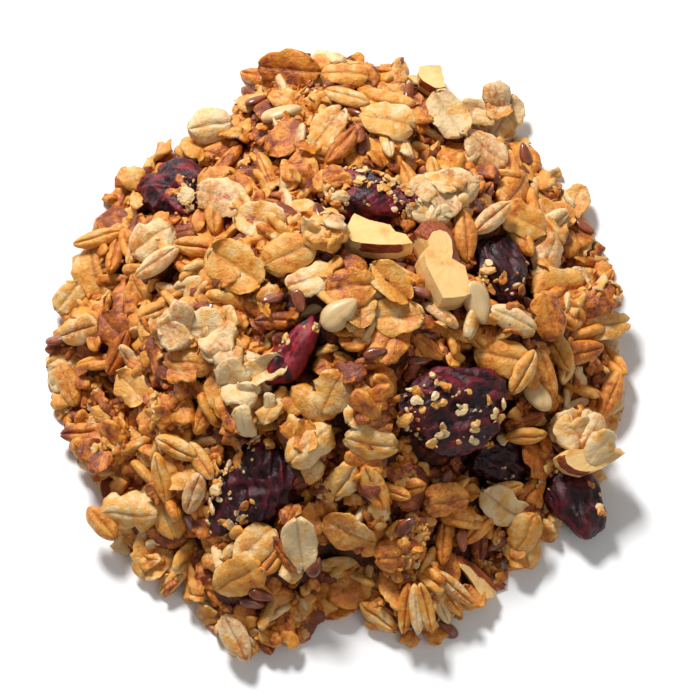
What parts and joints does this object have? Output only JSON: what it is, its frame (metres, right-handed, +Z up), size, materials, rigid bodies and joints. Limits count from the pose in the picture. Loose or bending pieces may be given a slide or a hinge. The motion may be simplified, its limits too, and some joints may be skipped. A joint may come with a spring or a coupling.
{
  "type": "heap of granola",
  "caption": "Loose round heap of baked granola lying on a flat surface: rolled oats, flax and sunflower seeds, with dried cranberries and chopped almonds set into it.",
  "frame": {"origin": "middle of the heap's box, on the surface it lies on", "axes": "+Z up; +Y away from the viewer, along the heap's slightly longer way; +X to the right of the view"},
  "size_m": [0.0998, 0.111, 0.0333],
  "materials": {
    "granola": "toasted oats with a thin syrup glaze",
    "cranberry": "dark red wrinkled dried fruit, shiny",
    "almond": "cream cut nut with red-brown skin at an edge"
  },
  "bodies": {
    "root": {"granola_heap": "granola", "cranberry_1": "cranberry", "cranberry_2": "cranberry", "cranberry_3": "cranberry", "cranberry_4": "cranberry", "cranberry_5": "cranberry", "cranberry_6": "cranberry", "cranberry_7": "cranberry", "cranberry_8": "cranberry", "almond_1": "almond", "almond_2": "almond", "almond_3": "almond", "almond_4": "almond", "almond_5": "almond"}
  },
  "joints": []
}
